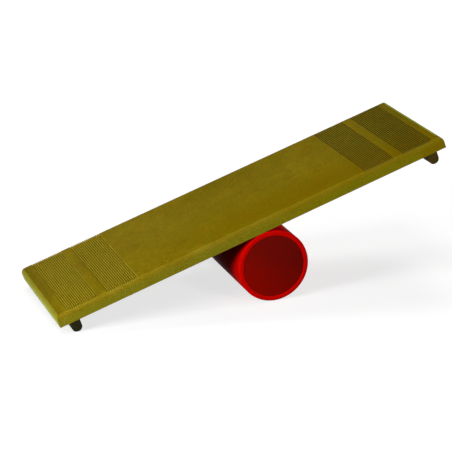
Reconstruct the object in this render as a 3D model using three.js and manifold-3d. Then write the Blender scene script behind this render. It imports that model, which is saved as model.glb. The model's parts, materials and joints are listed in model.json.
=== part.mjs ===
// Rola bola: a long plank with grooved foot areas, see-sawing on a loose plastic roller.
//
// Millimetres, +Z up. The plank's length runs along X and the roller's axis along Y.
// The origin lies on the floor, under the middle of the roller.
// The plank is at rest: its left end is down and the left stop stands on the floor.

import * as THREE from 'three';
import { mergeVertices } from 'three/addons/utils/BufferGeometryUtils.js';
import Module from 'manifold-3d';

const wasm = await Module();
wasm.setup();

// Plank: a slab with square corners in plan and a large round-over on its four top edges.
const deckLength = 730;
const deckWidth = 250;
const deckThickness = 25;
const deckEdgeRadius = 13.4;
const deckEdgeSteps = 8;

// Foot grips: on each end two bands of grooves, cut straight across the plank from side to
// side, so that each groove runs out in the round-over of both long edges.
const grooveEndMargin = 22;
const groovePitch = 3.6;
const groovesPerBand = 16;
const bandsPerEnd = 2;
const grooveBandGap = 20;
const grooveWidth = 2;
const grooveDepth = 4.8;
const grooveFloorSteps = 4;

// Stops: two battens screwed under the ends, which keep the roller from running out.
const stopWidth = 18;
const stopDepth = 20;
const stopNoseRadius = 8.5;
const stopNoseSteps = 8;
const stopEndMargin = 17.5;
const stopSideMargin = 2;

// Wood screws, driven up through each stop into the plank, with their heads sunk.
const screwsPerStop = 3;
const screwEndMargin = 33;
const screwLength = 29;
const screwShankRadius = 2;
const screwTipLength = 4;
const screwHeadRadius = 4;
const screwHeadRim = 0.5;
const screwHeadCone = 2.2;
const screwHeadSink = 2;
const screwSteps = 16;
const recessLength = 4.4;
const recessWidth = 1.1;
const recessDepth = 1.5;

// Roller: a thick-walled tube, with a disc let into each end almost flush.
const rollerDiameter = 125;
const rollerWall = 8.3;
const rollerOverhang = 2;
const rollerRimRadius = 1.5;
const rollerRimSteps = 3;
const rollerSteps = 72;
const endDiscThickness = 12;
const endDiscSink = 0.4;
const endDiscChamfer = 0.4;

// Where the plank lies on the roller: the roller stands this far to the right of its middle.
const rollerShift = 9;

// Play between pieces that touch, and how far a cutting body runs past what it cuts.
const seatGap = 0.3;
const overrun = 5;

// Sizes that follow from the ones above.
const rollerRadius = rollerDiameter / 2;
const rollerBoreRadius = rollerRadius - rollerWall;
const rollerLength = deckWidth + 2 * rollerOverhang;
const halfFacet = Math.PI / rollerSteps;
const axleHeight = rollerRadius * Math.cos(halfFacet);
const undersideHeight = rollerRadius + seatGap;
const bandSpan = (groovesPerBand - 1) * groovePitch;
const stopCentre = deckLength / 2 - stopEndMargin - stopWidth / 2;
const stopLength = deckWidth - 2 * stopSideMargin;
const screwSpacing = (stopLength - 2 * screwEndMargin) / (screwsPerStop - 1);
const stopTop = -seatGap;
const stopBottom = stopTop - stopDepth;
const restTilt = tiltWithStopDown();

// Tilt at which the outer side of the left stop's round nose just touches the floor.
function tiltWithStopDown() {
  const noseReach = deckLength / 2 - stopEndMargin - stopNoseRadius + rollerShift;
  const noseHeight = undersideHeight + stopBottom + stopNoseRadius;
  const noseDistance = Math.hypot(noseReach, noseHeight);
  return Math.atan2(noseHeight, noseReach) + Math.asin((axleHeight - stopNoseRadius) / noseDistance);
}

// A closed geometry as a solid that can be cut and joined.
function toSolid(geometry) {
  const bare = geometry.clone();
  bare.deleteAttribute('normal');
  bare.deleteAttribute('uv');
  const welded = mergeVertices(bare);
  return new wasm.Manifold(new wasm.Mesh({
    numProp: 3,
    vertProperties: new Float32Array(welded.attributes.position.array),
    triVerts: new Uint32Array(welded.index.array),
  }));
}

function toGeometry(solid) {
  const result = solid.getMesh();
  const geometry = new THREE.BufferGeometry();
  geometry.setAttribute('position', new THREE.BufferAttribute(result.vertProperties, 3));
  geometry.setIndex(new THREE.BufferAttribute(result.triVerts, 1));
  geometry.computeVertexNormals();
  return geometry;
}

// An outline drawn in X and Z, made into a bar that runs along Y, centred on Y = 0.
function barAlongY(outline, length, steps) {
  const options = { depth: length, bevelEnabled: false, curveSegments: steps };
  const bar = new THREE.ExtrudeGeometry(outline, options);
  bar.rotateX(Math.PI / 2);
  bar.translate(0, length / 2, 0);
  return bar;
}

// An outline drawn in Y and Z, made into a bar that runs along X, centred on X = 0.
function barAlongX(outline, length, steps) {
  const bar = barAlongY(outline, length, steps);
  bar.rotateZ(Math.PI / 2);
  return bar;
}

// Section of the plank: flat underside, upright sides, and round-overs at the top.
function deckSection(span) {
  const side = span / 2;
  const arcHeight = deckThickness - deckEdgeRadius;
  const outline = new THREE.Shape();
  outline.moveTo(-side, 0);
  outline.lineTo(side, 0);
  outline.lineTo(side, arcHeight);
  outline.absarc(side - deckEdgeRadius, arcHeight, deckEdgeRadius, 0, Math.PI / 2, false);
  outline.lineTo(deckEdgeRadius - side, deckThickness);
  outline.absarc(deckEdgeRadius - side, arcHeight, deckEdgeRadius, Math.PI / 2, Math.PI, false);
  outline.closePath();
  return outline;
}

// Two crossed bars share one body, whose round-overs meet in mitres at the four corners.
function deckSlab() {
  const lengthwise = barAlongY(deckSection(deckLength), deckWidth + 2 * overrun, deckEdgeSteps);
  const crosswise = barAlongX(deckSection(deckWidth), deckLength + 2 * overrun, deckEdgeSteps);
  return toSolid(lengthwise).intersect(toSolid(crosswise));
}

// One groove: straight walls and a half-round floor.
function grooveCutter() {
  const half = grooveWidth / 2;
  const outline = new THREE.Shape();
  outline.moveTo(half, deckThickness + overrun);
  outline.lineTo(-half, deckThickness + overrun);
  outline.lineTo(-half, deckThickness - grooveDepth + half);
  outline.absarc(0, deckThickness - grooveDepth + half, half, Math.PI, 2 * Math.PI, false);
  outline.closePath();
  return toSolid(barAlongY(outline, deckWidth + 2 * overrun, grooveFloorSteps));
}

// Distances of the grooves from the plank's middle, the same on both ends.
function grooveDistances() {
  const distances = [];
  for (let band = 0; band < bandsPerEnd; band += 1) {
    const outermost = deckLength / 2 - grooveEndMargin - band * (bandSpan + grooveBandGap);
    for (let groove = 0; groove < groovesPerBand; groove += 1) {
      distances.push(outermost - groove * groovePitch);
    }
  }
  return distances;
}

// Profile of a screw, from the face of its head up to the tip, with play all round it.
function screwProfile(play, headDrop) {
  const headTop = screwHeadRim + screwHeadCone;
  return [
    new THREE.Vector2(0, -headDrop),
    new THREE.Vector2(screwHeadRadius + play, -headDrop),
    new THREE.Vector2(screwHeadRadius + play, screwHeadRim),
    new THREE.Vector2(screwShankRadius + play, headTop),
    new THREE.Vector2(screwShankRadius + play, screwLength - screwTipLength),
    new THREE.Vector2(0, screwLength + play),
  ];
}

// A turned body that stands along Z, with its profile's zero at Z = 0.
function turnedUpright(profile) {
  const body = new THREE.LatheGeometry(profile, screwSteps);
  body.rotateX(Math.PI / 2);
  return toSolid(body);
}

// Cross recess in the head, open downwards.
function crossRecess() {
  const bar = new THREE.BoxGeometry(recessLength, recessWidth, 2 * recessDepth);
  const crossBar = new THREE.BoxGeometry(recessWidth, recessLength, 2 * recessDepth);
  return toSolid(bar).add(toSolid(crossBar));
}

// Places of one stop's screws: the head's face, in the plank's frame.
function screwPlaces(side) {
  const places = [];
  for (let index = 0; index < screwsPerStop; index += 1) {
    const across = (index - (screwsPerStop - 1) / 2) * screwSpacing;
    places.push([side * stopCentre, across, stopBottom + screwHeadSink]);
  }
  return places;
}

function screwHole() {
  return turnedUpright(screwProfile(seatGap, screwHeadSink + overrun));
}

function cutScrewHoles(solid, side) {
  const hole = screwHole();
  return screwPlaces(side).reduce((rest, place) => rest.subtract(hole.translate(place)), solid);
}

function deckGeometry() {
  const cutter = grooveCutter();
  let deck = deckSlab();
  for (const side of [-1, 1]) {
    for (const distance of grooveDistances()) {
      deck = deck.subtract(cutter.translate([side * distance, 0, 0]));
    }
    deck = cutScrewHoles(deck, side);
  }
  return toGeometry(deck);
}

// A batten with a flat top and a round nose, screwed on across the plank.
function stopGeometry(side) {
  const half = stopWidth / 2;
  const noseOffset = half - stopNoseRadius;
  const noseHeight = stopBottom + stopNoseRadius;
  const outline = new THREE.Shape();
  outline.moveTo(half, stopTop);
  outline.lineTo(-half, stopTop);
  outline.lineTo(-half, noseHeight);
  outline.absarc(-noseOffset, noseHeight, stopNoseRadius, Math.PI, 1.5 * Math.PI, false);
  outline.absarc(noseOffset, noseHeight, stopNoseRadius, 1.5 * Math.PI, 2 * Math.PI, false);
  outline.closePath();
  const batten = barAlongY(outline, stopLength, stopNoseSteps);
  batten.translate(side * stopCentre, 0, 0);
  return toGeometry(cutScrewHoles(toSolid(batten), side));
}

function screwGeometry() {
  return toGeometry(turnedUpright(screwProfile(0, 0)).subtract(crossRecess()));
}

// Points of a quarter round, from one angle on to the next quarter turn.
function quarterRound(centreX, centreY, radius, startAngle, steps) {
  const points = [];
  for (let step = 0; step <= steps; step += 1) {
    const angle = startAngle + (step / steps) * (Math.PI / 2);
    points.push(new THREE.Vector2(centreX + radius * Math.cos(angle), centreY + radius * Math.sin(angle)));
  }
  return points;
}

// The tube is turned about Y, with a flat of its many-sided outline facing straight down.
function rollerTubeGeometry() {
  const end = rollerLength / 2;
  const rimRadius = rollerRadius - rollerRimRadius;
  const rimEnd = end - rollerRimRadius;
  const profile = [
    ...quarterRound(rimRadius, -rimEnd, rollerRimRadius, -Math.PI / 2, rollerRimSteps),
    ...quarterRound(rimRadius, rimEnd, rollerRimRadius, 0, rollerRimSteps),
    new THREE.Vector2(rollerBoreRadius, end),
    new THREE.Vector2(rollerBoreRadius, -end),
  ];
  profile.push(profile[0].clone());
  return toGeometry(toSolid(new THREE.LatheGeometry(profile, rollerSteps, halfFacet)));
}

// A disc with broken edges that fills the tube's bore.
function endDiscGeometry() {
  const half = endDiscThickness / 2;
  const radius = rollerBoreRadius - seatGap;
  const profile = [
    new THREE.Vector2(0, -half),
    new THREE.Vector2(radius - endDiscChamfer, -half),
    new THREE.Vector2(radius, endDiscChamfer - half),
    new THREE.Vector2(radius, half - endDiscChamfer),
    new THREE.Vector2(radius - endDiscChamfer, half),
    new THREE.Vector2(0, half),
  ];
  return toGeometry(toSolid(new THREE.LatheGeometry(profile, rollerSteps, halfFacet)));
}

// Oiled fibreboard of an olive-brown colour.
function boardMaterial() {
  return new THREE.MeshStandardMaterial({ color: 0x7d6b14, roughness: 0.55, metalness: 0 });
}

// Hardwood stained nearly black.
function stopMaterial() {
  return new THREE.MeshStandardMaterial({ color: 0x2a2416, roughness: 0.4, metalness: 0 });
}

function steelMaterial() {
  return new THREE.MeshStandardMaterial({ color: 0x8f9094, roughness: 0.35, metalness: 1 });
}

// Glossy bright red plastic.
function tubeMaterial() {
  return new THREE.MeshStandardMaterial({ color: 0xc80404, roughness: 0.2, metalness: 0 });
}

// Deeper red, less glossy plastic.
function discMaterial() {
  return new THREE.MeshStandardMaterial({ color: 0x6a0804, roughness: 0.4, metalness: 0 });
}

function namedMesh(name, geometry, material) {
  const mesh = new THREE.Mesh(geometry, material);
  mesh.name = name;
  return mesh;
}

// Everything that tilts with the plank, in the plank's frame: Z = 0 is its underside.
function makeBoard() {
  const board = new THREE.Group();
  board.add(namedMesh('deck', deckGeometry(), boardMaterial()));
  for (const [label, side] of [['left', -1], ['right', 1]]) {
    board.add(namedMesh(`stop_${label}`, stopGeometry(side), stopMaterial()));
    screwPlaces(side).forEach((place, index) => {
      const screw = namedMesh(`stop_screw_${label}_${index + 1}`, screwGeometry(), steelMaterial());
      screw.position.set(...place);
      board.add(screw);
    });
  }
  return board;
}

// The roller, about its own axis.
function makeRoller() {
  const roller = new THREE.Group();
  roller.add(namedMesh('roller_tube', rollerTubeGeometry(), tubeMaterial()));
  const discPlace = rollerLength / 2 - endDiscSink - endDiscThickness / 2;
  for (const [label, side] of [['front', -1], ['rear', 1]]) {
    const disc = namedMesh(`roller_end_disc_${label}`, endDiscGeometry(), discMaterial());
    disc.position.y = side * discPlace;
    roller.add(disc);
  }
  return roller;
}

const rolaBola = new THREE.Group();

const roller = makeRoller();
roller.position.z = axleHeight;
rolaBola.add(roller);

const tiltAxis = new THREE.Group();
tiltAxis.position.z = axleHeight;
tiltAxis.rotation.y = -restTilt;
rolaBola.add(tiltAxis);

const board = makeBoard();
board.position.set(-rollerShift, 0, undersideHeight);
tiltAxis.add(board);

export default rolaBola;
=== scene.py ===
import json
import math

import bmesh
import bpy
from mathutils import Matrix, Vector


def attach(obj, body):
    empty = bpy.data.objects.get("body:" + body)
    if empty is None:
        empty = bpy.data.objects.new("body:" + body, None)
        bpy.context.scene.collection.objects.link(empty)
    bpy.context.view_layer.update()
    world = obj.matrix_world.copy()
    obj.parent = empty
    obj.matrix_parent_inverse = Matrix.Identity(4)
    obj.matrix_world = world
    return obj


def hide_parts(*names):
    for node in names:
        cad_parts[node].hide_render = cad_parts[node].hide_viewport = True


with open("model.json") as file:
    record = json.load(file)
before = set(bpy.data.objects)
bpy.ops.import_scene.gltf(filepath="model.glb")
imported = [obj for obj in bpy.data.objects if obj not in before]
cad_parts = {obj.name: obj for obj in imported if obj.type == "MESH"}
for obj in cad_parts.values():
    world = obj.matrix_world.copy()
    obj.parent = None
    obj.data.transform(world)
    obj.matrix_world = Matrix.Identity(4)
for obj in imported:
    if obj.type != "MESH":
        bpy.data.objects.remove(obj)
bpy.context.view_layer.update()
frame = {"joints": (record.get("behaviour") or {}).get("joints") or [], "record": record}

MM = 0.001

# The plank and what is on it, as in the CAD model
DECK_LENGTH = 730 * MM
DECK_WIDTH = 250 * MM
DECK_THICKNESS = 25 * MM
DECK_EDGE_RADIUS = 13.4 * MM
GROOVE_END_MARGIN = 22 * MM
GROOVE_PITCH = 3.6 * MM
GROOVES_PER_BAND = 16
BANDS_PER_END = 2
GROOVE_BAND_GAP = 20 * MM
GROOVE_WIDTH = 2 * MM
GROOVE_DEPTH = 4.8 * MM
STOP_WIDTH = 18 * MM
STOP_DEPTH = 20 * MM
STOP_NOSE_RADIUS = 8.5 * MM
STOP_END_MARGIN = 17.5 * MM
STOP_SIDE_MARGIN = 2 * MM
SCREWS_PER_STOP = 3
SCREW_END_MARGIN = 33 * MM
SCREW_LENGTH = 29 * MM
SCREW_SHANK_RADIUS = 2 * MM
SCREW_TIP_LENGTH = 4 * MM
SCREW_HEAD_RADIUS = 4 * MM
SCREW_HEAD_RIM = 0.5 * MM
SCREW_HEAD_CONE = 2.2 * MM
SCREW_HEAD_SINK = 2 * MM
SEAT_GAP = 0.3 * MM

# The roller, as in the CAD model
ROLLER_RADIUS = 62.5 * MM
ROLLER_WALL = 8.3 * MM
ROLLER_RIM_RADIUS = 1.5 * MM
ROLLER_OVERHANG = 2 * MM
ROLLER_SHIFT = 9 * MM
END_DISC_THICKNESS = 12 * MM
END_DISC_SINK = 0.4 * MM

# The camera, fitted to the photograph's outlines
SENSOR = 36.0
LENS = 167.17
CAMERA_PLACE = Vector((-1.11024, -3.27440, 1.28836))
CAMERA_AIM = Vector((-0.03918, 0.00387, 0.09908))
CAMERA_ROLL = math.radians(-2.533)
CAMERA_REACH = 100


# Places

axle_height = frame["joints"][0]["pos_m"][2]
deck_up = Vector(next(m for m in frame["record"]["mounts"] if m["name"] == "deck_top")["axis"])
tilt = math.atan2(-deck_up.x, deck_up.z)
board_frame = (
    Matrix.Translation((0, 0, axle_height))
    @ Matrix.Rotation(-tilt, 4, "Y")
    @ Matrix.Translation((-ROLLER_SHIFT, 0, ROLLER_RADIUS + SEAT_GAP))
)
roller_frame = Matrix.Translation((0, 0, axle_height))
stop_centre = DECK_LENGTH / 2 - STOP_END_MARGIN - STOP_WIDTH / 2
stop_length = DECK_WIDTH - 2 * STOP_SIDE_MARGIN
screw_spacing = (stop_length - 2 * SCREW_END_MARGIN) / (SCREWS_PER_STOP - 1)


# Mesh helpers

SHARP_ANGLE = 35


def piece_from_bmesh(name, bm, place, sharp_angle=SHARP_ANGLE):
    """A new object, its points put in place: smooth faces, edges sharp above an angle in degrees."""
    bm.transform(place)
    bmesh.ops.recalc_face_normals(bm, faces=bm.faces)
    limit = math.radians(sharp_angle)
    for edge in bm.edges:
        if len(edge.link_faces) == 2:
            edge.smooth = edge.calc_face_angle(0) < limit
    for face in bm.faces:
        face.smooth = True
    mesh = bpy.data.meshes.new(name)
    bm.to_mesh(mesh)
    bm.free()
    piece = bpy.data.objects.new(name, mesh)
    bpy.context.scene.collection.objects.link(piece)
    return piece


def lathe(bm, profile, steps, closed):
    """Turns (radius, along) points about Z: a closed profile to a ring, an open one from axis to axis."""
    rings = []
    for radius, along in profile:
        if radius == 0:
            rings.append([bm.verts.new((0, 0, along))])
            continue
        ring = []
        for step in range(steps):
            angle = 2 * math.pi * step / steps
            ring.append(bm.verts.new((radius * math.cos(angle), radius * math.sin(angle), along)))
        rings.append(ring)
    pairs = list(zip(rings, rings[1:]))
    if closed:
        pairs.append((rings[-1], rings[0]))
    for lower, upper in pairs:
        for step in range(steps):
            after = (step + 1) % steps
            corners = [lower[step % len(lower)], lower[after % len(lower)]]
            corners += [upper[after % len(upper)], upper[step % len(upper)]]
            unique = list(dict.fromkeys(corners))
            if len(unique) > 2:
                bm.faces.new(unique)


def quarter(centre_x, centre_y, radius, start, steps, stretch=1.0):
    """Points of a quarter round that starts at an angle in degrees, stretched along X."""
    points = []
    for step in range(steps + 1):
        angle = math.radians(start + 90 * step / steps)
        x = centre_x + radius * stretch * math.cos(angle)
        points.append((x, centre_y + radius * math.sin(angle)))
    return points


# The plank

ROUND_STEPS = 14
BOTTOM_BEVEL = 0.12 * MM

# Section of a groove: its softened lips, with their middle point at a share of the radius,
# and its round floor, with its radius as a share of half the width and two angles of its points
LIP_RADIUS = 0.15 * MM
LIP_MIDDLE = 0.3
GROOVE_FLOOR_SHARE = 0.94
GROOVE_FLOOR_ANGLES = (30, 60)

# Shares of a groove's depth at which the plank's round-over gets one more row of points
RUN_OUT_SHARES = (1, 0.93, 0.8)

# Points on the plain middle: how many lines to either side, and how many go on the whole span
PLAIN_COLUMNS = 4
COLUMNS_PER_LENGTH = 24
PLAIN_ROWS = 3
ROWS_PER_WIDTH = 9


def round_over(half):
    """Places on one side's round-over as (distance from the middle, height), from its foot inwards."""
    places = []
    for step in range(ROUND_STEPS + 1):
        angle = math.pi / 2 * step / ROUND_STEPS
        inset = DECK_EDGE_RADIUS * (1 - math.cos(angle))
        places.append((half - inset, DECK_THICKNESS - DECK_EDGE_RADIUS * (1 - math.sin(angle))))
    return places


def groove_points():
    """The groove's section as (offset, depth) pairs, with softened lips and a round floor."""
    half = GROOVE_WIDTH / 2
    floor_radius = half * GROOVE_FLOOR_SHARE
    right = [
        (half + LIP_RADIUS, 0.0),
        (half + LIP_RADIUS * LIP_MIDDLE, LIP_RADIUS * LIP_MIDDLE),
        (half, LIP_RADIUS),
        (floor_radius, GROOVE_DEPTH - floor_radius),
    ]
    for angle in GROOVE_FLOOR_ANGLES:
        turn = math.radians(angle)
        right.append((floor_radius * math.cos(turn), GROOVE_DEPTH - floor_radius * (1 - math.sin(turn))))
    return [(-x, d) for x, d in right] + [(0.0, GROOVE_DEPTH)] + [(x, d) for x, d in reversed(right)]


def length_stations():
    """Places along the plank: (x, highest z there, depth of groove there)."""
    half = DECK_LENGTH / 2
    stations = []
    for x, z in round_over(half):
        stations += [(-x, z, 0.0), (x, z, 0.0)]
    band_span = (GROOVES_PER_BAND - 1) * GROOVE_PITCH
    section = groove_points()
    for side in (-1, 1):
        for band in range(BANDS_PER_END):
            first = half - GROOVE_END_MARGIN - band * (band_span + GROOVE_BAND_GAP)
            for groove in range(GROOVES_PER_BAND):
                centre = side * (first - groove * GROOVE_PITCH)
                stations += [(centre + offset, DECK_THICKNESS, depth) for offset, depth in section]
    for step in range(-PLAIN_COLUMNS, PLAIN_COLUMNS + 1):
        stations.append((step * DECK_LENGTH / COLUMNS_PER_LENGTH, DECK_THICKNESS, 0.0))
    return sorted(stations)


def width_stations():
    """Places across the plank: (y, highest z there)."""
    rows = []
    for y, z in round_over(DECK_WIDTH / 2):
        rows += [(-y, z), (y, z)]
    for share in RUN_OUT_SHARES:
        depth = GROOVE_DEPTH * share
        inset = DECK_EDGE_RADIUS - math.sqrt(DECK_EDGE_RADIUS ** 2 - (DECK_EDGE_RADIUS - depth) ** 2)
        place = DECK_WIDTH / 2 - inset
        rows += [(-place, DECK_THICKNESS - depth), (place, DECK_THICKNESS - depth)]
    for step in range(-PLAIN_ROWS, PLAIN_ROWS + 1):
        rows.append((step * DECK_WIDTH / ROWS_PER_WIDTH, DECK_THICKNESS))
    return sorted(rows)


def add_top_faces(bm, grid):
    """Faces of the height field. A bent one is split along the diagonal that rises more."""
    for left, right in zip(grid, grid[1:]):
        for k in range(len(left) - 1):
            a, b, c, d = left[k], right[k], right[k + 1], left[k + 1]
            rise = abs(a.co.z - c.co.z)
            other_rise = abs(b.co.z - d.co.z)
            if rise > other_rise:
                bm.faces.new((a, b, c))
                bm.faces.new((a, c, d))
            elif other_rise > rise:
                bm.faces.new((a, b, d))
                bm.faces.new((b, c, d))
            else:
                bm.faces.new((a, b, c, d))


def add_bottom_faces(bm, ring, last_x, last_y):
    """Closes a ring of points that starts at the left front corner: strips, and a face at each end."""
    back_right = last_x + last_y
    back_left = back_right + last_x
    for i in range(1, last_x - 1):
        back = back_left - i
        bm.faces.new((ring[i], ring[back], ring[back - 1], ring[i + 1]))
    bm.faces.new([ring[0], ring[1], ring[back_left - 1]] + ring[back_left:])
    bm.faces.new(ring[last_x - 1:back_right + 2])


def deck_mesh():
    """The plank as one closed mesh: a height field on top, straight sides and a bevelled foot."""
    bm = bmesh.new()
    columns = length_stations()
    rows = width_stations()
    grid = []
    for x, top_x, depth in columns:
        line = []
        for y, top_y in rows:
            z = min(top_x, top_y, DECK_THICKNESS - depth)
            line.append(bm.verts.new((x, y, z)))
        grid.append(line)
    add_top_faces(bm, grid)
    last_x, last_y = len(columns) - 1, len(rows) - 1
    ring = [grid[i][0] for i in range(last_x + 1)]
    ring += [grid[last_x][j] for j in range(1, last_y + 1)]
    ring += [grid[i][last_y] for i in range(last_x - 1, -1, -1)]
    ring += [grid[0][j] for j in range(last_y - 1, 0, -1)]
    for height, inset in ((BOTTOM_BEVEL, 0.0), (0.0, BOTTOM_BEVEL)):
        share_x = 1 - inset / (DECK_LENGTH / 2)
        share_y = 1 - inset / (DECK_WIDTH / 2)
        lower = [bm.verts.new((v.co.x * share_x, v.co.y * share_y, height)) for v in ring]
        for k in range(len(ring)):
            after = (k + 1) % len(ring)
            bm.faces.new((ring[k], lower[k], lower[after], ring[after]))
        ring = lower
    add_bottom_faces(bm, ring, last_x, last_y)
    return bm


# Stops and screws

STOP_EDGE_RADIUS = 0.6 * MM
STOP_EDGE_STEPS = 3
STOP_NOSE_STEPS = 10

# Softened ends of a batten, with the middle point at a share of the bevel
STOP_END_BEVEL = 0.8 * MM
STOP_END_MIDDLE = 0.3

# The cutters of the screw holes start this far outside
HOLE_OVERSHOOT = 3 * MM
HOLE_STEPS = 32


def stop_section():
    """Outline of a batten in X and Z, its flat top at Z = 0."""
    half = STOP_WIDTH / 2
    nose = half - STOP_NOSE_RADIUS
    height = STOP_NOSE_RADIUS - STOP_DEPTH
    edge = STOP_EDGE_RADIUS
    outline = quarter(half - edge, -edge, edge, 0, STOP_EDGE_STEPS)
    outline += quarter(edge - half, -edge, edge, 90, STOP_EDGE_STEPS)
    outline += quarter(-nose, height, STOP_NOSE_RADIUS, 180, STOP_NOSE_STEPS)
    outline += quarter(nose, height, STOP_NOSE_RADIUS, 270, STOP_NOSE_STEPS)
    return outline


def apply_boolean(target, cutter):
    modifier = target.modifiers.new("cut", "BOOLEAN")
    modifier.operation = "DIFFERENCE"
    modifier.solver = "EXACT"
    modifier.object = cutter
    graph = bpy.context.evaluated_depsgraph_get()
    cut_mesh = bpy.data.meshes.new_from_object(target.evaluated_get(graph))
    target.modifiers.clear()
    old = target.data
    target.data = cut_mesh
    bpy.data.meshes.remove(old)
    bpy.data.objects.remove(cutter)


def screw_places(side):
    """Middle of each head's face on one stop, in the plank's frame."""
    across = [(k - (SCREWS_PER_STOP - 1) / 2) * screw_spacing for k in range(SCREWS_PER_STOP)]
    height = SCREW_HEAD_SINK - STOP_DEPTH - SEAT_GAP
    return [Vector((side * stop_centre, y, height)) for y in across]


def hole_mesh(places):
    """Countersunk holes, a little wider than the screws."""
    bm = bmesh.new()
    mouth = -SCREW_HEAD_SINK - HOLE_OVERSHOOT
    profile = [
        (0, mouth),
        (SCREW_HEAD_RADIUS + SEAT_GAP, mouth),
        (SCREW_HEAD_RADIUS + SEAT_GAP, SCREW_HEAD_RIM),
        (SCREW_SHANK_RADIUS + SEAT_GAP, SCREW_HEAD_RIM + SCREW_HEAD_CONE),
        (SCREW_SHANK_RADIUS + SEAT_GAP, SCREW_LENGTH - SCREW_TIP_LENGTH),
        (0, SCREW_LENGTH + SEAT_GAP),
    ]
    for place in places:
        start = len(bm.verts)
        lathe(bm, profile, HOLE_STEPS, closed=False)
        bm.verts.ensure_lookup_table()
        bmesh.ops.translate(bm, verts=bm.verts[start:], vec=place)
    return bm


def cut_screw_holes(piece, side):
    holes = piece_from_bmesh("holes", hole_mesh(screw_places(side)), board_frame)
    apply_boolean(piece, holes)


def make_deck():
    deck = piece_from_bmesh("deck_board", deck_mesh(), board_frame)
    for side in (-1, 1):
        cut_screw_holes(deck, side)
    return deck


def make_stop(label, side):
    """A batten under the plank, made of outlines along Y that shrink a little at its ends."""
    bm = bmesh.new()
    half = stop_length / 2
    outline = stop_section()
    rings = []
    halfway = STOP_END_BEVEL * STOP_END_MIDDLE
    end = [(half, STOP_END_BEVEL), (half - halfway, halfway), (half - STOP_END_BEVEL, 0)]
    stations = [(-y, shrink) for y, shrink in end] + end[::-1]
    middle = -STOP_DEPTH / 2
    for y, shrink in stations:
        share_x = 1 - shrink / (STOP_WIDTH / 2)
        share_z = 1 - shrink / (STOP_DEPTH / 2)
        ring = []
        for x, z in outline:
            height = middle + (z - middle) * share_z - SEAT_GAP
            ring.append(bm.verts.new((side * stop_centre + x * share_x, y, height)))
        rings.append(ring)
    for lower, upper in zip(rings, rings[1:]):
        for k in range(len(outline)):
            after = (k + 1) % len(outline)
            bm.faces.new((lower[k], lower[after], upper[after], upper[k]))
    bm.faces.new(rings[0])
    bm.faces.new(list(reversed(rings[-1])))
    stop = piece_from_bmesh(f"stop_batten_{label}", bm, board_frame)
    cut_screw_holes(stop, side)
    return stop


SCREW_STEPS = 24
SCREW_SHARP_ANGLE = 50
SCREW_HEAD_BEVEL = 0.15 * MM
SCREW_PLAIN_LENGTH = 6 * MM
SCREW_TIP_RADIUS = 0.12 * MM
THREAD_PITCH = 1.6 * MM
THREAD_DEPTH = 0.45 * MM
THREAD_RINGS_PER_TURN = 6

# The cross recess in a screw's head
RECESS_REACH = 2.3 * MM
RECESS_HALF_WIDTH = 0.55 * MM
RECESS_DEPTH = 1.7 * MM
RECESS_OVERSHOOT = 0.5 * MM
RECESS_TAPER = 0.45
RECESS_ARM_TAPER = 0.7

# The angle at which each screw came to a stop, in degrees: a start, more per screw, more per side
SCREW_TURNS = (17, 53, 29)


def screw_mesh():
    """A countersunk wood screw: turned head, threaded shank, pointed tip, cut about Z."""
    bm = bmesh.new()
    head_top = SCREW_HEAD_RIM + SCREW_HEAD_CONE
    plain_end = head_top + SCREW_PLAIN_LENGTH
    thread_end = SCREW_LENGTH - SCREW_TIP_LENGTH
    rings = []

    def add_ring(radius_at, along):
        ring = []
        for step in range(SCREW_STEPS):
            angle = 2 * math.pi * step / SCREW_STEPS
            radius = radius_at(angle)
            ring.append(bm.verts.new((radius * math.cos(angle), radius * math.sin(angle), along)))
        rings.append(ring)

    plain_rings = (
        (SCREW_HEAD_RADIUS - SCREW_HEAD_BEVEL, 0),
        (SCREW_HEAD_RADIUS, SCREW_HEAD_BEVEL),
        (SCREW_HEAD_RADIUS, SCREW_HEAD_RIM),
        (SCREW_SHANK_RADIUS, head_top),
        (SCREW_SHANK_RADIUS, plain_end),
    )
    for radius, along in plain_rings:
        add_ring(lambda angle, radius=radius: radius, along)
    turns = (SCREW_LENGTH - plain_end) / THREAD_PITCH
    count = int(turns * THREAD_RINGS_PER_TURN)
    for k in range(1, count):
        along = plain_end + (SCREW_LENGTH - plain_end) * k / count
        taper = min(1.0, (SCREW_LENGTH - along) / (SCREW_LENGTH - thread_end))
        swell = min(1.0, (along - plain_end) / THREAD_PITCH)

        def radius_at(angle, along=along, taper=taper, swell=swell):
            phase = (along / THREAD_PITCH - angle / (2 * math.pi)) % 1.0
            ridge = 1 - abs(2 * phase - 1)
            root = SCREW_SHANK_RADIUS - THREAD_DEPTH * swell
            return max(SCREW_TIP_RADIUS, taper * (root + THREAD_DEPTH * swell * ridge ** 2))

        add_ring(radius_at, along)
    for lower, upper in zip(rings, rings[1:]):
        for k in range(SCREW_STEPS):
            after = (k + 1) % SCREW_STEPS
            bm.faces.new((lower[k], lower[after], upper[after], upper[k]))
    bm.faces.new(list(reversed(rings[0])))
    tip = bm.verts.new((0, 0, SCREW_LENGTH))
    for k in range(SCREW_STEPS):
        bm.faces.new((rings[-1][k], rings[-1][(k + 1) % SCREW_STEPS], tip))
    return bm


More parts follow.
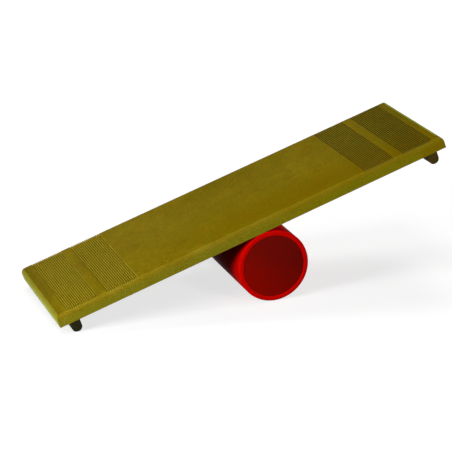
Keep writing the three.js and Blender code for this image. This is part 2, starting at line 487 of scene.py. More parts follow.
def cross_recess_mesh():
    """A tapered cross that cuts the recess in a screw's head."""
    bm = bmesh.new()
    reach, half_width = RECESS_REACH, RECESS_HALF_WIDTH
    outline = []
    for c, s in ((1, 0), (0, 1), (-1, 0), (0, -1)):
        for x, y in ((reach, -half_width), (reach, half_width), (half_width, half_width)):
            outline.append((x * c - y * s, x * s + y * c))
    lower = [bm.verts.new((x, y, -RECESS_OVERSHOOT)) for x, y in outline]
    upper = []
    for x, y in outline:
        taper_y = RECESS_ARM_TAPER if abs(y) < abs(x) else RECESS_TAPER
        upper.append(bm.verts.new((x * RECESS_TAPER, y * taper_y, RECESS_DEPTH)))
    for k in range(len(outline)):
        after = (k + 1) % len(outline)
        bm.faces.new((lower[k], lower[after], upper[after], upper[k]))
    bm.faces.new(list(reversed(lower)))
    bm.faces.new(upper)
    return bm


def make_screw(label, side, index, place):
    start, per_screw, per_side = SCREW_TURNS
    angle = math.radians(start + per_screw * index + per_side * side)
    matrix = board_frame @ Matrix.Translation(place) @ Matrix.Rotation(angle, 4, "Z")
    name = f"wood_screw_{label}_{index + 1}"
    screw = piece_from_bmesh(name, screw_mesh(), matrix, SCREW_SHARP_ANGLE)
    apply_boolean(screw, piece_from_bmesh("recess", cross_recess_mesh(), matrix))
    return screw


# The roller

LATHE_STEPS = 192

# How much further the worn rims' rounding reaches across the wall than along it
RIM_WEAR = 2.3
RIM_STEPS = 10
BORE_EDGE_RADIUS = 0.25 * MM
BORE_EDGE_STEPS = 3
DISC_PLAY = 0.05 * MM
DISC_EDGE_RADIUS = 0.25 * MM
DISC_EDGE_STEPS = 4


def make_tube():
    """The pipe, its rims worn round: their rounding is stretched across the wall."""
    bm = bmesh.new()
    end = DECK_WIDTH / 2 + ROLLER_OVERHANG
    # The solid roller has flats, and a round pipe that stays inside them has this radius.
    outer = axle_height
    bore = ROLLER_RADIUS - ROLLER_WALL
    rim = ROLLER_RIM_RADIUS
    soft = BORE_EDGE_RADIUS
    rim_centre = outer - rim * RIM_WEAR
    profile = quarter(rim_centre, rim - end, rim, -90, RIM_STEPS, RIM_WEAR)
    profile += quarter(rim_centre, end - rim, rim, 0, RIM_STEPS, RIM_WEAR)
    profile += quarter(bore + soft, end - soft, soft, 90, BORE_EDGE_STEPS)
    profile += quarter(bore + soft, soft - end, soft, 180, BORE_EDGE_STEPS)
    lathe(bm, profile, LATHE_STEPS, closed=True)
    turn = Matrix.Rotation(math.pi / 2, 4, "X")
    return piece_from_bmesh("roller_pipe", bm, roller_frame @ turn)


def make_end_disc(label, side):
    """A plug that fills one end of the bore."""
    bm = bmesh.new()
    half = END_DISC_THICKNESS / 2
    radius = ROLLER_RADIUS - ROLLER_WALL - DISC_PLAY
    soft = DISC_EDGE_RADIUS
    profile = [(0, -half)]
    profile += quarter(radius - soft, soft - half, soft, -90, DISC_EDGE_STEPS)
    profile += quarter(radius - soft, half - soft, soft, 0, DISC_EDGE_STEPS)
    profile.append((0, half))
    lathe(bm, profile, LATHE_STEPS, closed=False)
    place = DECK_WIDTH / 2 + ROLLER_OVERHANG - END_DISC_SINK - half
    turn = Matrix.Rotation(-side * math.pi / 2, 4, "X")
    matrix = Matrix.Translation((0, side * place, axle_height)) @ turn
    return piece_from_bmesh(f"roller_plug_{label}", bm, matrix)


# Materials

# Measures of the plank for its material, in millimetres
DECK_FACE = DECK_THICKNESS / MM
HALF_LENGTH = DECK_LENGTH / MM / 2
HALF_WIDTH = DECK_WIDTH / MM / 2
SKIN_DEPTH = 2.7
ROUTED_FROM = 13.8

# How far the masks of the bands and grooves keep off or reach past an edge, in millimetres
MASK_PLAY = 0.1
GROOVE_MASK_MARGIN = 0.03

# Pattern sizes, in millimetres
CLOUD_SIZE = 42
TINT_SIZE = 21
GRAIN_SIZE = 2.6
FIBRE_SIZE = 0.7
RING_SIZE = 3.2
PORE_SIZE = 0.6
BLOOM_SIZE = 2.4
FLECK_SIZE = 0.25
DRAWN_SIZE = 1.6
TUBE_HAZE_SIZE = 16
DUST_SIZE = 0.5
TURNED_SIZE = 0.9
DISC_HAZE_SIZE = 14

# Scale along the axes for patterns that are drawn out along the grain, the pipe or the disc
ALONG_BATTEN = (1, 0.05, 1)
ALONG_PIPE = (1, 0.008, 1)
ALONG_DISC = 0.2

# Spans over which a tone comes in on the plank: (none of it here, all of it here)
LEFT_BANDS = (40, -40)
RIGHT_BANDS = (-40, 40)
BROWNER_ACROSS = (-25, -85)
BROWNER_ALONG = (-130, 10)
END_FACES = (-0.6, 1.2)
ROUTED_HEIGHTS = (ROUTED_FROM - 0.5, ROUTED_FROM + 0.5)
SAWN_HEIGHTS = (ROUTED_FROM + 0.5, ROUTED_FROM - 0.5)
END_SHEEN_HEIGHTS = (ROUTED_FROM + 5.5, ROUTED_FROM - 4.5)
SKIN_HEIGHTS = (DECK_FACE - SKIN_DEPTH - 0.2, DECK_FACE - SKIN_DEPTH + 0.1)
UNDERSIDE_HEIGHTS = (0.4, 0.1)
TOP_HEIGHTS = (DECK_FACE - SKIN_DEPTH - 2, DECK_FACE - SKIN_DEPTH)
GROOVE_OPEN_HEIGHTS = (DECK_FACE - 3.8, DECK_FACE - 1.6)
RUN_OUT_PLACES = (HALF_WIDTH - 12, HALF_WIDTH - 6)

# The painted highlight along the right end's arris, and where it stops at the corners
ARRIS_START = (355.0, 356.4)
ARRIS_END = (361, 358)
ARRIS_CORNERS = (0.0, 3.0)

# Soft edge of the patches of painted light and painted shade, as a share of their size squared, and where
# the stops turn browner
PATCH_SPREAD = (1.5, 0.3)
BROWNER_STOPS = (-10, 10)

# Tones that come in to a share: (the share, none of it here, all of it here)
OLIVE_ALONG = (0.6, -100, 120)
WARM_ALONG = (0.85, 300, 335)
FOOT_PALE = (0.45, 2.8, 0.8)
# Painted sheen: a pale haze on the top towards the left end and towards the back
SHEEN_ALONG = (0.012, -20, -160)
SHEEN_ACROSS = (0.025, -100, 30)
# Painted shade towards both ends of the top
RIGHT_END_SHADE = (0.18, 250, 330)
LEFT_END_SHADE = (0.32, -340, -355)

# Shares of what lies over the plank's tones
ARRIS_HIGHLIGHT_SHARE = 0.7
SCRATCH_SHARE = 0.6
PIT_SHARE = 0.35
# More painted light where the grooves run out at the long edges
RUN_OUT_OPEN = 0.3
RUN_OUT_LIT = 0.12
BROWNER_LEVEL = 0.6
BROWNER_CLOUDS = -0.3

# How much darker or lighter a place on the plank is, and how far it reaches in millimetres
ROUTED_LINE_DARKER = 0.06
ROUTED_LINE_HALF_WIDTH = 1.2
# Painted shade on the lands of the left bands, and painted light on those of the right bands
LAND_LEFT_SHADE = 0.14
LAND_RIGHT_LIGHT = 0.37
LAND_FLATNESS = 0.4
PATCH_LOSS_ON_BANDS = 0.6

# How strongly the patterns show
GRAIN_IN_MOTTLE = 1.8
CLOUD_IN_SAWN = 0.3
GRAIN_IN_SAWN = 1.7
GRAIN_SPECKS = 0.06
FIBRE_SPECKS = 0.24
PORE_SPECKS = 0.15
DUST_SPECKS = 0.03
TURNED_SPECKS = 0.04
DISC_HAZE = 0.2

# Painted light on the disc: its tone gets lighter across its face towards the lower left: weight of X
# beside Z, and the span in millimetres
DISC_PAINTED_SLANT = 0.5
DISC_PAINTED_ACROSS = (-40, 54)

# Wear on the near long side, in millimetres: (x, slope, lowest z, highest z, half width)
SCRATCHES = (
    (-357.8, 0.38, 3.0, 11.0, 0.8),
    (-245.9, 0.38, 3.0, 13.2, 0.6),
    (-238.5, 0.9, 8.5, 12.0, 0.4),
)

# Soft edges of the scratches, and how deep in from the side they reach, in millimetres
SCRATCH_SOFT_OUTSIDE = 0.4
SCRATCH_SOFT_INSIDE = 0.2
SCRATCH_SOFT_ENDS = 1
NEAR_SIDE_DEPTH = 1

# A pit on the near long side, in millimetres: (x, z, radius), and half the width of its soft edge
PIT = (-213.1, 18.8, 1.1)
PIT_EDGE = 0.5

# Soft patches of painted shade and painted light on the top, in millimetres: (x, y, half length, half
# width, how much darker)
PAINTED_PATCHES = (
    (10, 88, 75, 40, 0.10),
    (180, -5, 55, 105, -0.10),
    (-235, -30, 90, 110, 0.075),
    (-346, -90, 14, 42, -0.15),
    (346, -90, 14, 42, -0.15),
)


def srgb(red, green, blue):
    """A colour given as 0 to 255 screen values, in linear light."""
    def linear(value):
        share = value / 255
        return share / 12.92 if share <= 0.04045 else ((share + 0.055) / 1.055) ** 2.4
    return (linear(red), linear(green), linear(blue), 1)


# Colours at full light
SKIN_DARK = srgb(113, 90, 1)
SKIN_LIGHT = srgb(136, 113, 12)
SKIN_GREENER = srgb(118, 105, 5)
SKIN_BROWNER = srgb(121, 97, 2)
ROUTED_DARK = srgb(135, 115, 13)
ROUTED_LIGHT = srgb(149, 131, 30)
ROUTED_WARM = srgb(142, 121, 6)
# Groove colours: the paler core with painted light, painted shade deeper down, and painted shade on the
# right bands
GROOVE_LIT = srgb(219, 200, 66)
GROOVE_DEEP_SHADE = srgb(144, 128, 24)
GROOVE_SHADED = srgb(79, 77, 38)
INNER_DARK = srgb(121, 106, 5)
INNER_LIGHT = srgb(175, 161, 40)
INNER_GREENER = srgb(145, 140, 26)
INNER_WARM = srgb(149, 123, 2)
INNER_PALE = srgb(162, 152, 38)
OLIVE_DARK = srgb(132, 112, 2)
OLIVE_LIGHT = srgb(176, 154, 9)
OLIVE_GREENER = srgb(146, 140, 6)
END_DARK = srgb(132, 122, 22)
END_LIGHT = srgb(146, 137, 38)
# Painted sheen low on the plank's ends
END_SHEEN = srgb(174, 181, 88)
# Painted highlight on the right end's arris
ARRIS_HIGHLIGHT = srgb(170, 184, 60)
# Painted sheen on the top
SHEEN_TONE = srgb(150, 142, 96)
SCRATCH_TONE = srgb(164, 164, 78)
PIT_TONE = srgb(50, 44, 12)
STAIN_DARK = srgb(31, 30, 15)
STAIN_LIGHT = srgb(53, 50, 25)
STAIN_BROWN_DARK = srgb(59, 48, 14)
STAIN_BROWN = srgb(96, 77, 21)
STEEL_COOL = srgb(168, 170, 172)
STEEL_WARM = srgb(186, 184, 178)
TUBE_DARK = srgb(200, 6, 2)
TUBE_LIGHT = srgb(210, 8, 3)
TUBE_CUT_DARK = srgb(230, 7, 2)
TUBE_CUT_LIGHT = srgb(240, 9, 3)
# The disc's shaded and lit tones for its painted light, mixed by a random haze
DISC_SHADED = srgb(126, 17, 10)
DISC_LIT = srgb(158, 14, 1)
RED_TINT = (1.0, 0.25, 0.22, 1.0)

# Gloss: (roughness, how far it swings, specular level)
BOARD_GLOSS = (0.42, 0.02, 0.0005)
STOP_GLOSS = (0.5, 0.06, 0.05)
TUBE_GLOSS = (0.28, 0.02, 0.0005)
DISC_GLOSS = (0.42, 0.03, 0.01)
STEEL_ROUGHNESS = (0.36, 0.06)
SAWN_ROUGHER = 0.08

# Relief: (height in metres, strength)
BOARD_RELIEF = (0.00006, 0.25)
SAWN_RELIEF_MORE = 0.6
STOP_RELIEF = (0.00005, 0.5)
STEEL_RELIEF = (0.00001, 0.5)
TUBE_RELIEF = (0.00001, 0.5)
DISC_RELIEF = (0.00001, 0.4)

# Sockets of a Mix node for colours: share, first colour and second colour, and the result
MIX_INPUTS = (0, 6, 7)
MIX_OUTPUT = 2

# A Noise node stays mostly within a quarter of one half, and swings by about 1 when spread by this
NOISE_SPREAD = 4


class Recipe:
    """Builds one material: every input may be a plain number, a colour or another node's output."""

    def __init__(self, name):
        self.material = bpy.data.materials.new(name)
        self.material.use_nodes = True
        self.nodes = self.material.node_tree.nodes
        self.links = self.material.node_tree.links
        self.shader = self.nodes["Principled BSDF"]

    def feed(self, socket, value):
        if isinstance(value, bpy.types.NodeSocket):
            self.links.new(value, socket)
        else:
            socket.default_value = value

    def set(self, **values):
        for name, value in values.items():
            self.feed(self.shader.inputs[name.replace("_", " ")], value)

    def math(self, operation, *values):
        node = self.nodes.new("ShaderNodeMath")
        node.operation = operation
        for socket, value in zip(node.inputs, values):
            self.feed(socket, value)
        return node.outputs[0]

    def add(self, first, second):
        return self.math("ADD", first, second)

    def subtract(self, first, second):
        return self.math("SUBTRACT", first, second)

    def product(self, *values):
        result = values[0]
        for value in values[1:]:
            result = self.math("MULTIPLY", result, value)
        return result

    def scaled(self, value, factor, level):
        """The value times a factor, added to a level."""
        return self.math("MULTIPLY_ADD", value, factor, level)

    def share(self, noise):
        """Noise as a share about one half."""
        return self.scaled(noise, 0.5, 0.5)

    def distance(self, first, second):
        """Length of the line that goes this far along two axes."""
        squares = self.add(self.product(first, first), self.product(second, second))
        return self.math("SQRT", squares)

    def step(self, value, start, end):
        """Goes softly from 0 to 1 while the value goes from start to end."""
        node = self.nodes.new("ShaderNodeMapRange")
        node.interpolation_type = "SMOOTHSTEP"
        for socket, given in zip(node.inputs, (value, start, end)):
            self.feed(socket, given)
        return node.outputs[0]

    def fade(self, value, most, start, end):
        """Goes softly from 0 to the most while the value goes from start to end."""
        return self.product(self.step(value, start, end), most)

    def blend(self, share, first, second, mode="MIX"):
        node = self.nodes.new("ShaderNodeMix")
        node.data_type = "RGBA"
        node.blend_type = mode
        for index, value in zip(MIX_INPUTS, (share, first, second)):
            self.feed(node.inputs[index], value)
        return node.outputs[MIX_OUTPUT]

    def speckled(self, tone, noise, strength):
        """The tone, made lighter and darker by noise."""
        return self.blend(1.0, tone, self.scaled(noise, strength, 1.0), "MULTIPLY")

    def place(self, body_frame):
        """Object coordinates as millimetres in a body's own frame."""
        back = body_frame.inverted()
        node = self.nodes.new("ShaderNodeMapping")
        node.inputs["Scale"].default_value = (1 / MM,) * 3
        node.inputs["Rotation"].default_value = back.to_euler()
        node.inputs["Location"].default_value = back.to_translation() / MM
        coords = self.nodes.new("ShaderNodeTexCoord")
        self.links.new(coords.outputs["Object"], node.inputs["Vector"])
        return node.outputs["Vector"]

    def stretch(self, vector, scale):
        node = self.nodes.new("ShaderNodeMapping")
        node.inputs["Scale"].default_value = scale
        self.links.new(vector, node.inputs["Vector"])
        return node.outputs["Vector"]

    def split(self, vector):
        node = self.nodes.new("ShaderNodeSeparateXYZ")
        self.links.new(vector, node.inputs[0])
        return node.outputs

    def join(self, x, y, z):
        node = self.nodes.new("ShaderNodeCombineXYZ")
        for socket, value in zip(node.inputs, (x, y, z)):
            self.feed(socket, value)
        return node.outputs[0]

    def noise(self, vector, size, detail=2.0, roughness=0.5, gain=1.0):
        """Noise about 0, swinging by roughly the gain to either side."""
        node = self.nodes.new("ShaderNodeTexNoise")
        node.inputs["Scale"].default_value = 1 / size
        node.inputs["Detail"].default_value = detail
        node.inputs["Roughness"].default_value = roughness
        self.links.new(vector, node.inputs["Vector"])
        return self.scaled(node.outputs["Fac"], NOISE_SPREAD * gain, -NOISE_SPREAD / 2 * gain)

    def bump(self, height, distance, strength):
        node = self.nodes.new("ShaderNodeBump")
        node.inputs["Distance"].default_value = distance
        self.feed(node.inputs["Strength"], strength)
        self.feed(node.inputs["Height"], height)
        self.links.new(node.outputs["Normal"], self.shader.inputs["Normal"])


def groove_masks(recipe, x, z):
    """One on the grooved bands; and one inside the grooves, up to just under the plank's face."""
    half_pitch = GROOVE_PITCH / MM / 2
    span = (GROOVES_PER_BAND - 1) * GROOVE_PITCH / MM
    band_pitch = span + GROOVE_BAND_GAP / MM
    outermost = (DECK_LENGTH / 2 - GROOVE_END_MARGIN) / MM + half_pitch
    innermost = (BANDS_PER_END - 1) * band_pitch + span + 2 * half_pitch
    inward = recipe.subtract(outermost, recipe.math("ABSOLUTE", x))
    in_band = recipe.math("MODULO", inward, band_pitch)
    in_groove = recipe.math("MODULO", in_band, GROOVE_PITCH / MM)
    off_centre = recipe.math("ABSOLUTE", recipe.subtract(in_groove, half_pitch))
    band = recipe.product(
        recipe.math("GREATER_THAN", inward, 0.0),
        recipe.math("LESS_THAN", inward, innermost),
        recipe.math("LESS_THAN", in_band, span + 2 * half_pitch),
        recipe.math("GREATER_THAN", z, DECK_FACE - GROOVE_DEPTH / MM - MASK_PLAY),
    )
    groove = recipe.product(
        band,
        recipe.math("LESS_THAN", off_centre, GROOVE_WIDTH / MM / 2 + GROOVE_MASK_MARGIN),
        recipe.math("LESS_THAN", z, DECK_FACE - MASK_PLAY),
    )
    return band, groove


def scratch_mask(recipe, x, y, z):
    """One on the scratches of the near long side."""
    result = 0.0
    for place, slope, lowest, highest, half_width in SCRATCHES:
        centre = recipe.scaled(z, slope, place)
        aside = recipe.math("ABSOLUTE", recipe.subtract(x, centre))
        stroke = recipe.product(
            recipe.step(aside, half_width + SCRATCH_SOFT_OUTSIDE, half_width - SCRATCH_SOFT_INSIDE),
            recipe.step(z, lowest - SCRATCH_SOFT_ENDS, lowest),
            recipe.step(z, highest + SCRATCH_SOFT_ENDS, highest),
        )
        result = recipe.math("MAXIMUM", result, stroke)
    near = recipe.math("LESS_THAN", y, NEAR_SIDE_DEPTH - HALF_WIDTH)
    return recipe.product(result, near)


def pit_mask(recipe, x, y, z):
    """One on the pit in the near long side."""
    pit_x, pit_z, radius = PIT
    distance = recipe.distance(recipe.subtract(x, pit_x), recipe.subtract(z, pit_z))
    inside = recipe.step(distance, radius + PIT_EDGE, radius - PIT_EDGE)
    return recipe.product(inside, recipe.math("LESS_THAN", y, 0.0))


def painted_patches(recipe, x, y):
    """How much darker the soft patches of painted shade make the top; the patches of painted light make
    it lighter.
    """
    result = 0.0
    for centre_x, centre_y, half_x, half_y, darker in PAINTED_PATCHES:
        along = recipe.scaled(x, 1 / half_x, -centre_x / half_x)
        across = recipe.scaled(y, 1 / half_y, -centre_y / half_y)
        spread = recipe.scaled(along, along, recipe.product(across, across))
        result = recipe.scaled(recipe.step(spread, *PATCH_SPREAD), darker, result)
    return result


def skin_tone(recipe, x, y, mottle, tint):
    """The dense skin, browner towards the right front, with a painted sheen towards the left end and the
    back.
    """
    tone = recipe.blend(recipe.share(mottle), SKIN_DARK, SKIN_LIGHT)
    tone = recipe.blend(recipe.share(tint), tone, SKIN_GREENER)
    cloudy = recipe.scaled(tint, BROWNER_CLOUDS, BROWNER_LEVEL)
    browner = recipe.product(recipe.step(y, *BROWNER_ACROSS), recipe.step(x, *BROWNER_ALONG), cloudy)
    tone = recipe.blend(browner, tone, SKIN_BROWNER)
    # Painted sheen towards the left end and towards the back
    sheen = recipe.add(recipe.fade(x, *SHEEN_ALONG), recipe.fade(y, *SHEEN_ACROSS))
    return recipe.blend(sheen, tone, SHEEN_TONE)


def side_tone(recipe, x, z, at_end, mottle, sawn_mottle, tint):
    """The cut sides: coarse and sawn below, routed above, in other tones on the plank's ends, with a
    painted sheen low on the ends.
    """
    sawn_share = recipe.share(sawn_mottle)
    greener = recipe.share(tint)
    inner = recipe.blend(sawn_share, INNER_DARK, INNER_LIGHT)
    inner = recipe.blend(greener, inner, INNER_GREENER)
    olive = recipe.blend(sawn_share, OLIVE_DARK, OLIVE_LIGHT)
    olive = recipe.blend(greener, olive, OLIVE_GREENER)
    to_olive = recipe.fade(x, *OLIVE_ALONG)
    inner = recipe.blend(to_olive, inner, olive)
    inner = recipe.blend(recipe.fade(z, *FOOT_PALE), inner, INNER_PALE)
    inner = recipe.blend(recipe.fade(x, *WARM_ALONG), inner, INNER_WARM)
    routed = recipe.blend(recipe.share(mottle), ROUTED_DARK, ROUTED_LIGHT)
    routed = recipe.blend(to_olive, routed, ROUTED_WARM)
    end = recipe.blend(recipe.share(mottle), END_DARK, END_LIGHT)
    routed = recipe.blend(at_end, routed, end)
    tone = recipe.blend(recipe.step(z, *ROUTED_HEIGHTS), inner, routed)
    # Painted sheen low on the plank's ends
    painted_light = recipe.product(at_end, recipe.step(z, *END_SHEEN_HEIGHTS))
    return recipe.blend(painted_light, tone, END_SHEEN)


def groove_tone(recipe, x, y, z):
    """Inside of the grooves: the paler core with painted light on the left bands, and painted shade
    deeper down and on the right bands.
    """
    runs_out = recipe.step(recipe.math("ABSOLUTE", y), *RUN_OUT_PLACES)
    near_face = recipe.step(z, *GROOVE_OPEN_HEIGHTS)
    open_share = recipe.math("MAXIMUM", near_face, recipe.product(runs_out, RUN_OUT_OPEN))
    painted_light = recipe.blend(open_share, GROOVE_DEEP_SHADE, GROOVE_LIT)
    shaded = recipe.blend(recipe.product(runs_out, RUN_OUT_LIT), GROOVE_SHADED, GROOVE_LIT)
    return recipe.blend(recipe.step(x, *LEFT_BANDS), shaded, painted_light)


def top_painted_light(recipe, x, y, z, band):
    """How much darker the top is: painted shade at both ends, and soft patches of painted shade and
    painted light.
    """
    painted_top = recipe.add(recipe.fade(x, *RIGHT_END_SHADE), recipe.fade(x, *LEFT_END_SHADE))
    off_bands = recipe.scaled(band, -PATCH_LOSS_ON_BANDS, 1.0)
    painted_top = recipe.add(painted_top, recipe.product(painted_patches(recipe, x, y), off_bands))
    return recipe.product(recipe.step(z, *TOP_HEIGHTS), painted_top)


def painted_land_light(recipe, x, z, band, inside):
    """Painted shade on the lands between the grooves of the left bands, and painted light on those of the
    right bands.
    """
    land = recipe.product(band, recipe.subtract(1.0, inside))
    flat = recipe.math("GREATER_THAN", z, DECK_FACE - LAND_FLATNESS)
    left = recipe.product(land, flat, recipe.step(x, *LEFT_BANDS), LAND_LEFT_SHADE)
    right = recipe.product(land, recipe.step(x, *RIGHT_BANDS), LAND_RIGHT_LIGHT)
    return recipe.subtract(left, right)


def board_material():
    """Oiled fibreboard: a dense skin, a lighter routed edge, and a coarse sawn inside."""
    recipe = Recipe("olive_fibreboard")
    place = recipe.place(board_frame)
    x, y, z = recipe.split(place)
    cloud = recipe.noise(place, CLOUD_SIZE, detail=5.0, roughness=0.8, gain=1.9)
    flipped = recipe.stretch(place, (1, 1, -1))
    tint = recipe.noise(flipped, TINT_SIZE, detail=4.0, roughness=0.8, gain=1.8)
    grain = recipe.noise(place, GRAIN_SIZE, roughness=0.8)
    fibre = recipe.noise(place, FIBRE_SIZE, roughness=0.6)
    mottle = recipe.add(cloud, recipe.product(grain, GRAIN_IN_MOTTLE))
    sawn_mottle = recipe.add(recipe.product(cloud, CLOUD_IN_SAWN), recipe.product(grain, GRAIN_IN_SAWN))
    band, inside = groove_masks(recipe, x, z)
    inside_end = recipe.subtract(HALF_LENGTH, recipe.math("ABSOLUTE", x))
    inside_edge = recipe.subtract(HALF_WIDTH, recipe.math("ABSOLUTE", y))
    nearer_end = recipe.subtract(inside_edge, inside_end)
    at_end = recipe.step(nearer_end, *END_FACES)

    skin = skin_tone(recipe, x, y, mottle, tint)
    tone = side_tone(recipe, x, z, at_end, mottle, sawn_mottle, tint)
    tone = recipe.blend(recipe.step(z, *SKIN_HEIGHTS), tone, skin)
    tone = recipe.blend(recipe.step(z, *UNDERSIDE_HEIGHTS), tone, skin)
    # Painted highlight along the right end's arris
    arris = recipe.product(recipe.step(x, *ARRIS_START), recipe.step(x, *ARRIS_END), ARRIS_HIGHLIGHT_SHARE)
    arris = recipe.product(arris, recipe.step(nearer_end, *ARRIS_CORNERS))
    tone = recipe.blend(arris, tone, ARRIS_HIGHLIGHT)
    tone = recipe.blend(inside, tone, groove_tone(recipe, x, y, z))

    routed_line = recipe.product(
        recipe.step(z, ROUTED_FROM - ROUTED_LINE_HALF_WIDTH, ROUTED_FROM),
        recipe.step(z, ROUTED_FROM + ROUTED_LINE_HALF_WIDTH, ROUTED_FROM),
        ROUTED_LINE_DARKER,
    )
    # Painted shade and painted light on the top and on the groove lands join the darker routed line here
    darkening = recipe.add(routed_line, top_painted_light(recipe, x, y, z, band))
    darkening = recipe.add(darkening, painted_land_light(recipe, x, z, band, inside))
    specks = recipe.add(recipe.product(grain, GRAIN_SPECKS), recipe.product(fibre, FIBRE_SPECKS))
    shade = recipe.subtract(recipe.add(1.0, specks), darkening)
    tone = recipe.blend(1.0, tone, shade, "MULTIPLY")
    scratches = recipe.product(scratch_mask(recipe, x, y, z), SCRATCH_SHARE)
    tone = recipe.blend(scratches, tone, SCRATCH_TONE)
    tone = recipe.blend(recipe.product(pit_mask(recipe, x, y, z), PIT_SHARE), tone, PIT_TONE)

    sawn = recipe.math("MAXIMUM", recipe.step(z, *SAWN_HEIGHTS), inside)
    roughness, swing, specular = BOARD_GLOSS
    recipe.set(
        Base_Color=tone,
        Roughness=recipe.scaled(sawn, SAWN_ROUGHER, recipe.scaled(cloud, swing, roughness)),
        Specular_IOR_Level=specular,
    )
    height, strength = BOARD_RELIEF
    recipe.bump(recipe.add(grain, fibre), height, recipe.scaled(sawn, SAWN_RELIEF_MORE, strength))
    return recipe.material


def stop_material():
    """Hardwood stained nearly black, its grain along the batten; the right one is browner."""
    recipe = Recipe("dark_stained_wood")
    place = recipe.place(board_frame)
    x = recipe.split(place)[0]
    along = recipe.stretch(place, ALONG_BATTEN)
    ring = recipe.noise(along, RING_SIZE, detail=3.0, roughness=0.6)
    pore = recipe.noise(along, PORE_SIZE, roughness=0.6)
    tone = recipe.blend(recipe.share(ring), STAIN_DARK, STAIN_LIGHT)
    brown = recipe.blend(recipe.share(ring), STAIN_BROWN_DARK, STAIN_BROWN)
    tone = recipe.blend(recipe.step(x, *BROWNER_STOPS), tone, brown)
    roughness, swing, specular = STOP_GLOSS
    recipe.set(
        Base_Color=recipe.speckled(tone, pore, PORE_SPECKS),
        Roughness=recipe.scaled(pore, swing, roughness),
        Specular_IOR_Level=specular,
    )
    recipe.bump(recipe.add(ring, pore), *STOP_RELIEF)
    return recipe.material


def steel_material():
    """Dull zinc plating with a faint bluish bloom."""
    recipe = Recipe("zinc_plated_steel")
    place = recipe.place(board_frame)
    bloom = recipe.noise(place, BLOOM_SIZE)
    fleck = recipe.noise(place, FLECK_SIZE, roughness=0.6)
    tone = recipe.blend(recipe.share(bloom), STEEL_COOL, STEEL_WARM)
    roughness, swing = STEEL_ROUGHNESS
    recipe.set(Base_Color=tone, Metallic=1.0, Roughness=recipe.scaled(fleck, swing, roughness))
    recipe.bump(fleck, *STEEL_RELIEF)
    return recipe.material


def tube_material():
    """Red extruded plastic with faint drawing lines along the axis; its cut ends are brighter."""
    recipe = Recipe("red_pipe_plastic")
    place = recipe.place(roller_frame)
    y = recipe.split(place)[1]
    drawn = recipe.noise(recipe.stretch(place, ALONG_PIPE), DRAWN_SIZE, detail=3.0, roughness=0.6)
    haze = recipe.noise(place, TUBE_HAZE_SIZE)
    dust = recipe.noise(place, DUST_SIZE, roughness=0.7)
    wall_tone = recipe.blend(recipe.share(haze), TUBE_DARK, TUBE_LIGHT)
    cut_tone = recipe.blend(recipe.share(haze), TUBE_CUT_DARK, TUBE_CUT_LIGHT)
    end = (DECK_WIDTH / 2 + ROLLER_OVERHANG) / MM
    rim = ROLLER_RIM_RADIUS / MM
    cut = recipe.step(recipe.math("ABSOLUTE", y), end - rim, end - rim / 2)
    tone = recipe.blend(cut, wall_tone, cut_tone)
    roughness, swing, specular = TUBE_GLOSS
    recipe.set(
        Base_Color=recipe.speckled(tone, dust, DUST_SPECKS),
        Roughness=recipe.scaled(haze, swing, recipe.scaled(dust, swing, roughness)),
        Specular_IOR_Level=specular,
        Specular_Tint=RED_TINT,
    )
    recipe.bump(drawn, *TUBE_RELIEF)
    return recipe.material


def disc_material():
    """Deep red satin plastic with faint turning marks, and painted light that makes it redder towards its
    lower left.
    """
    recipe = Recipe("deep_red_plastic")
    place = recipe.place(roller_frame)
    x, y, z = recipe.split(place)
    rings = recipe.join(recipe.distance(x, z), recipe.product(y, ALONG_DISC), 0.0)
    turned = recipe.noise(rings, TURNED_SIZE, roughness=0.6)
    haze = recipe.noise(place, DISC_HAZE_SIZE)
    across = recipe.scaled(x, -DISC_PAINTED_SLANT, recipe.product(z, -1.0))
    share = recipe.scaled(haze, DISC_HAZE, recipe.step(across, *DISC_PAINTED_ACROSS))
    tone = recipe.blend(share, DISC_SHADED, DISC_LIT)
    roughness, swing, specular = DISC_GLOSS
    recipe.set(
        Base_Color=recipe.speckled(tone, turned, TURNED_SPECKS),
        Roughness=recipe.scaled(haze, swing, roughness),
        Specular_IOR_Level=specular,
        Specular_Tint=RED_TINT,
    )
    recipe.bump(turned, *DISC_RELIEF)
    return recipe.material


# Stage, light and camera

# The floor: half its size, how far it lies under the object, its tone in the shadow and its bounce
FLOOR_REACH = 40.0
FLOOR_DROP = 0.0005
FLOOR_PALE = 0.38
FLOOR_BOUNCE = 0.1

# The floor's own glow, over this span of distances from the object
FLOOR_RISE = (0.7, 2.2)
FLOOR_GLOW = (0.72, 1.0)

# Lights: (name, place, size, level it gives at the middle)
LIGHT_AIM = Vector((0, 0, 0.1))
LIGHTS = (
    ("left_softbox", (-1.25, -0.48, 0.4), 0.4, 0.55),
    ("left_upper", (-0.95, -0.3, 0.8), 0.4, 0.10),
    ("left_low", (-1.2, -0.3, 0.06), 0.4, 0.10),
    ("overhead", (-0.2, -0.3, 2.6), 0.8, 0.18),
    ("front_right", (0.8, -2.4, 1.0), 0.8, 0.33),
    ("rear_right", (0.7, 1.2, 2.0), 0.8, 0.30),
    ("rear_left", (-0.8, 1.2, 2.0), 0.8, 0.165),
    ("low_right", (1.3, 0.5, 0.1), 0.5, 0.35),
)


def background_rays(nodes, links):
    """One for the rays that see the background: those from the camera, a gloss or a glass."""
    path = nodes.new("ShaderNodeLightPath")
    result = path.outputs["Is Camera Ray"]
    for name in ("Is Glossy Ray", "Is Transmission Ray"):
        larger = nodes.new("ShaderNodeMath")
        larger.operation = "MAXIMUM"
        links.new(result, larger.inputs[0])
        links.new(path.outputs[name], larger.inputs[1])
        result = larger.outputs[0]
    return result


def mixed_shader(recipe, share, first, second):
    """A shader that is the first where the share is 0 and the second where it is 1."""
    node = recipe.nodes.new("ShaderNodeMixShader")
    for socket, output in zip(node.inputs, (share, first, second)):
        recipe.links.new(output, socket)
    return node.outputs[0]


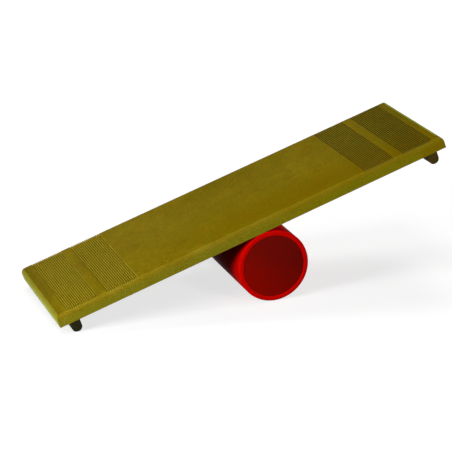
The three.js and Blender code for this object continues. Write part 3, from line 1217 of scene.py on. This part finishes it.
def diffuse_shader(recipe, level):
    """A matt grey of a level from 0 to 1."""
    node = recipe.nodes.new("ShaderNodeBsdfDiffuse")
    node.inputs["Color"].default_value = (level, level, level, 1)
    return node.outputs[0]


def floor_material():
    """White that keeps the shadow. It throws little light back up, and is clear from below."""
    recipe = Recipe("pale_floor")
    nodes, links = recipe.nodes, recipe.links
    coords = nodes.new("ShaderNodeTexCoord")
    distance = nodes.new("ShaderNodeVectorMath")
    distance.operation = "LENGTH"
    links.new(coords.outputs["Object"], distance.inputs[0])
    rise = nodes.new("ShaderNodeMapRange")
    rise.interpolation_type = "SMOOTHSTEP"
    links.new(distance.outputs["Value"], rise.inputs["Value"])
    for name, value in zip(("From Min", "From Max", "To Min", "To Max"), FLOOR_RISE + FLOOR_GLOW):
        rise.inputs[name].default_value = value
    glow = nodes.new("ShaderNodeEmission")
    glow.inputs["Color"].default_value = (1, 1, 1, 1)
    links.new(rise.outputs[0], glow.inputs["Strength"])
    seen = nodes.new("ShaderNodeAddShader")
    links.new(diffuse_shader(recipe, FLOOR_PALE), seen.inputs[0])
    links.new(glow.outputs[0], seen.inputs[1])
    paper = diffuse_shader(recipe, FLOOR_BOUNCE)
    by_ray = mixed_shader(recipe, background_rays(nodes, links), paper, seen.outputs[0])
    clear = nodes.new("ShaderNodeBsdfTransparent")
    side = nodes.new("ShaderNodeNewGeometry")
    by_side = mixed_shader(recipe, side.outputs["Backfacing"], by_ray, clear.outputs[0])
    links.new(by_side, nodes["Material Output"].inputs["Surface"])
    nodes.remove(recipe.shader)
    return recipe.material


def make_floor():
    """One large flat face just under the object."""
    bm = bmesh.new()
    signs = ((-1, -1), (1, -1), (1, 1), (-1, 1))
    bm.faces.new([bm.verts.new((x * FLOOR_REACH, y * FLOOR_REACH, -FLOOR_DROP)) for x, y in signs])
    floor = piece_from_bmesh("floor", bm, Matrix.Identity(4))
    floor.data.materials.append(floor_material())


def make_light(name, place, size, level):
    """A round soft light aimed at the object; at its middle it gives a facing surface this level."""
    way = LIGHT_AIM - Vector(place)
    data = bpy.data.lights.new(name, "AREA")
    data.shape = "DISK"
    data.size = size
    data.energy = level * math.pi ** 2 * way.length_squared
    light = bpy.data.objects.new(name, data)
    bpy.context.scene.collection.objects.link(light)
    light.location = place
    light.rotation_euler = way.to_track_quat("-Z", "Y").to_euler()


def make_world():
    """White behind the object and in its gloss. Otherwise only the lamps and the floor light it."""
    world = bpy.data.worlds.new("studio")
    bpy.context.scene.world = world
    world.use_nodes = True
    nodes, links = world.node_tree.nodes, world.node_tree.links
    white = nodes["Background"]
    white.inputs["Color"].default_value = (1, 1, 1, 1)
    links.new(background_rays(nodes, links), white.inputs["Strength"])


def make_camera():
    """The camera at the photograph's viewing angle."""
    data = bpy.data.cameras.new("camera")
    data.sensor_width = SENSOR
    data.lens = LENS
    data.clip_end = CAMERA_REACH
    camera = bpy.data.objects.new("camera", data)
    bpy.context.scene.collection.objects.link(camera)
    level = (CAMERA_AIM - CAMERA_PLACE).to_track_quat("-Z", "Y").to_matrix().to_4x4()
    camera.matrix_world = Matrix.Translation(CAMERA_PLACE) @ level @ Matrix.Rotation(CAMERA_ROLL, 4, "Z")
    bpy.context.scene.camera = camera


# The whole scene

def add_piece(piece, material, node, body):
    """Gives a piece its material, hides the solid that it stands in for, and ties it to the body that it
    moves with.
    """
    piece.data.materials.clear()
    piece.data.materials.append(material)
    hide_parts(node)
    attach(piece, body)


make_camera()
make_world()
make_floor()
for light in LIGHTS:
    make_light(*light)

add_piece(make_deck(), board_material(), "deck", "board")
wood = stop_material()
steel = steel_material()
for label, side in (("left", -1), ("right", 1)):
    add_piece(make_stop(label, side), wood, f"stop_{label}", "board")
    for index, place in enumerate(screw_places(side)):
        screw = make_screw(label, side, index, place)
        add_piece(screw, steel, f"stop_screw_{label}_{index + 1}", "board")

add_piece(make_tube(), tube_material(), "roller_tube", "roller")
red = disc_material()
for label, side in (("front", -1), ("rear", 1)):
    add_piece(make_end_disc(label, side), red, f"roller_end_disc_{label}", "roller")

bpy.context.scene.view_settings.view_transform = "Standard"
